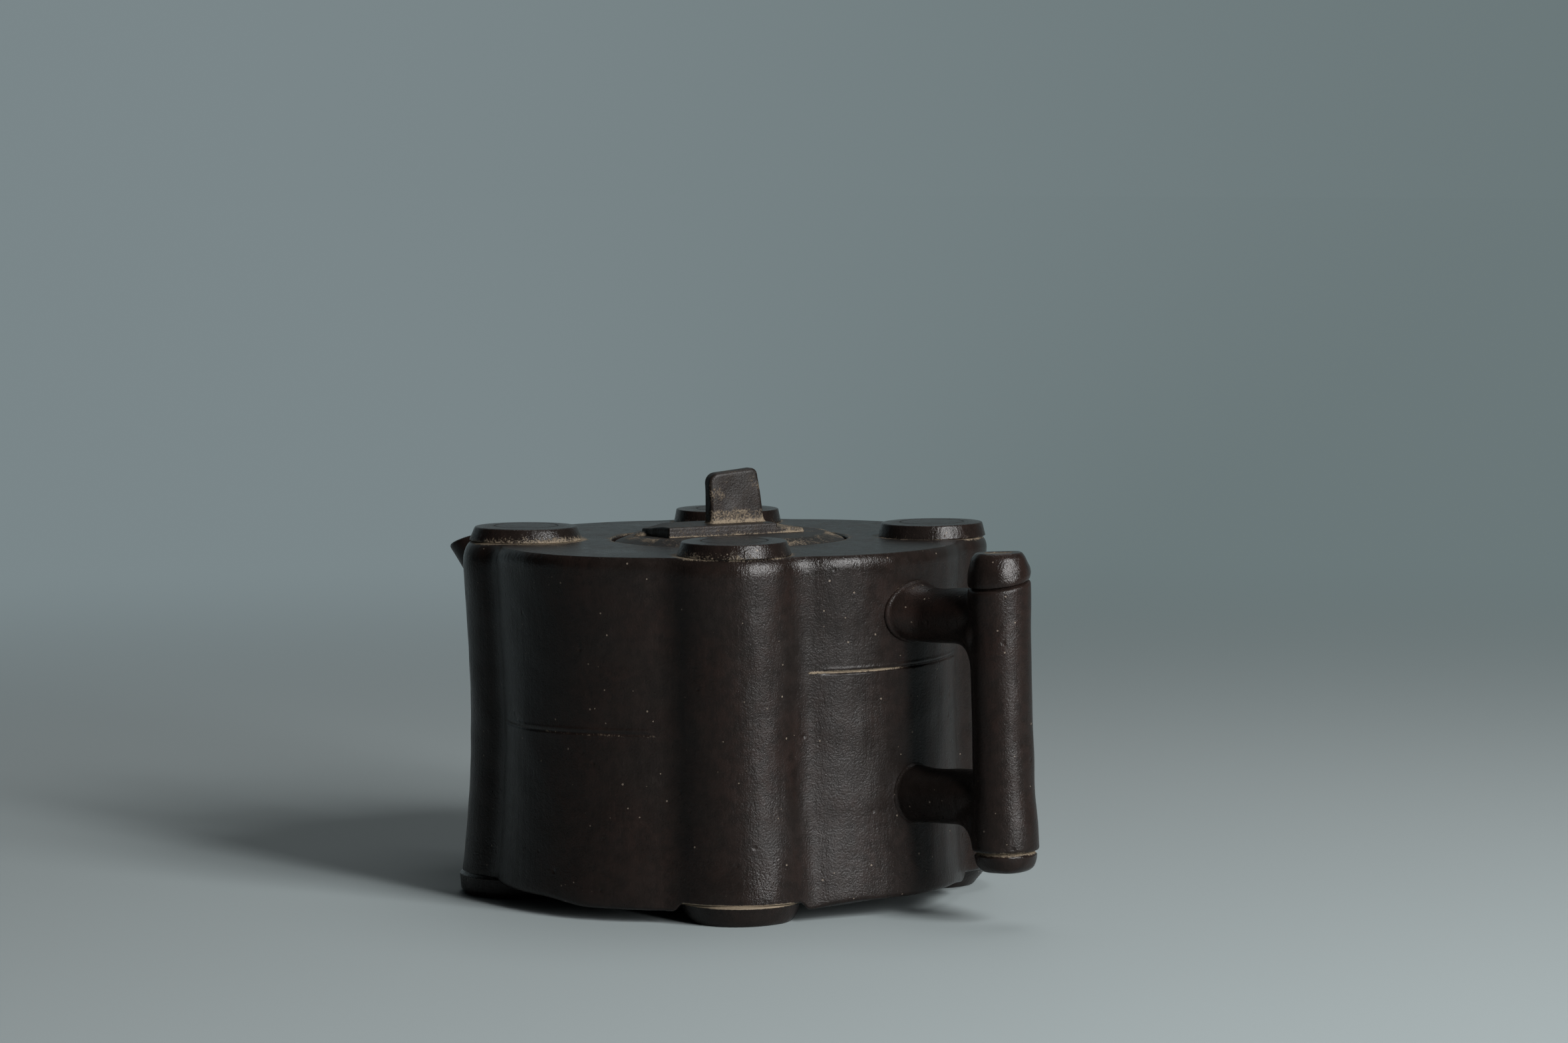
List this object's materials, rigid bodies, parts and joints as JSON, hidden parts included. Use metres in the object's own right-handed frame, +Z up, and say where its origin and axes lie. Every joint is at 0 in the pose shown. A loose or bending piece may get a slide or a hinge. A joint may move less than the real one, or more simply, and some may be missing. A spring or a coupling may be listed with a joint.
{
  "type": "teapot",
  "caption": "Unglazed stoneware teapot shaped as a bundle of bamboo, with a lobed body, disc feet, a stalk handle, an upswept spout and a sunk round lid with a tab knob.",
  "frame": {"origin": "on the pot's vertical axis, in the plane of the feet's soles", "axes": "+Z up, +X along the handle, -X along the spout"},
  "size_m": [0.1647, 0.1046, 0.0874],
  "materials": {
    "body_clay": "unglazed, satin from burnishing",
    "handle_clay": "unglazed, satin from handling",
    "lid_clay": "unglazed, matte with tea dust in the corners"
  },
  "bodies": {
    "pot": {"body_wall": "body_clay", "base_plate": "body_clay", "top_plate": "body_clay", "lid_seat_ring": "body_clay", "corner_cap_handle_left": "body_clay", "corner_cap_handle_right": "body_clay", "corner_cap_spout_left": "body_clay", "corner_cap_spout_right": "body_clay", "foot_handle_left": "body_clay", "foot_handle_right": "body_clay", "foot_spout_left": "body_clay", "foot_spout_right": "body_clay", "spout": "body_clay", "grip": "handle_clay", "grip_cap_top": "handle_clay", "grip_cap_bottom": "handle_clay", "strut_upper": "handle_clay", "strut_lower": "handle_clay"},
    "lid": {"lid_plate": "lid_clay", "lid_flange": "lid_clay", "plinth_lower": "lid_clay", "plinth_upper": "lid_clay", "knob": "lid_clay"}
  },
  "joints": [
    {"name": "lid_lift", "type": "slide", "parent": "pot", "child": "lid", "axis": [0, 0, 1], "range_m": [0, 0.05]}
  ]
}
